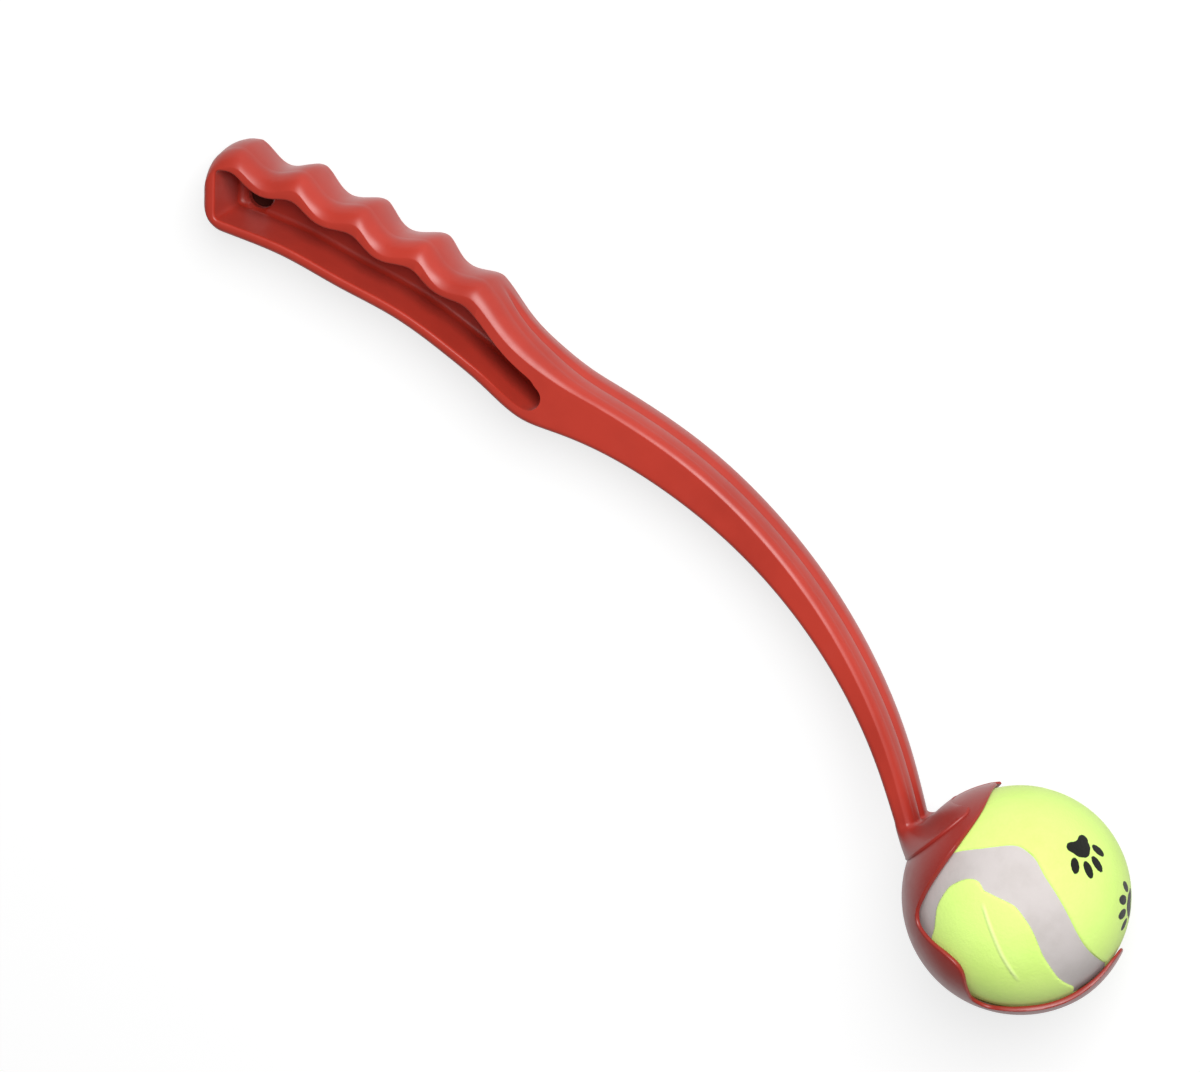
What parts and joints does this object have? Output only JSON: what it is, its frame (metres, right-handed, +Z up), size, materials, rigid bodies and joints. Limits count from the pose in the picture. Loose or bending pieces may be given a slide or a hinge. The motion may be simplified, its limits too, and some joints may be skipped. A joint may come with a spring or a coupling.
{
  "type": "dog ball thrower",
  "caption": "Moulded ball thrower with a finger-grip handle, a curved arm and a clawed cup, with a felted ball seated in the cup.",
  "frame": {"origin": "middle of the bounding box in plan, on the ground under the thrower as it lies on its side", "axes": "+X along the thrower from the handle's butt to the cup, +Z up from the ground, away from the handle's closed side"},
  "size_m": [0.3458, 0.1096, 0.0653],
  "materials": {
    "launcher_plastic": "smooth semi-gloss red moulding",
    "core_rubber": "matt moulded rubber",
    "ball_felt": "short napped felt, yellow-green",
    "seam_rubber": "matt grey seam rubber"
  },
  "bodies": {
    "launcher": {"launcher": "launcher_plastic"},
    "ball": {"rubber_core_a": "core_rubber", "rubber_core_b": "core_rubber", "felt_panel_a": "ball_felt", "felt_panel_b": "ball_felt", "seam_band": "seam_rubber"}
  },
  "joints": [
    {"name": "ball_release", "type": "slide", "parent": "launcher", "child": "ball", "axis": [0.0122, 0.9743, -0.2251], "range_m": [0, 0.05]}
  ]
}
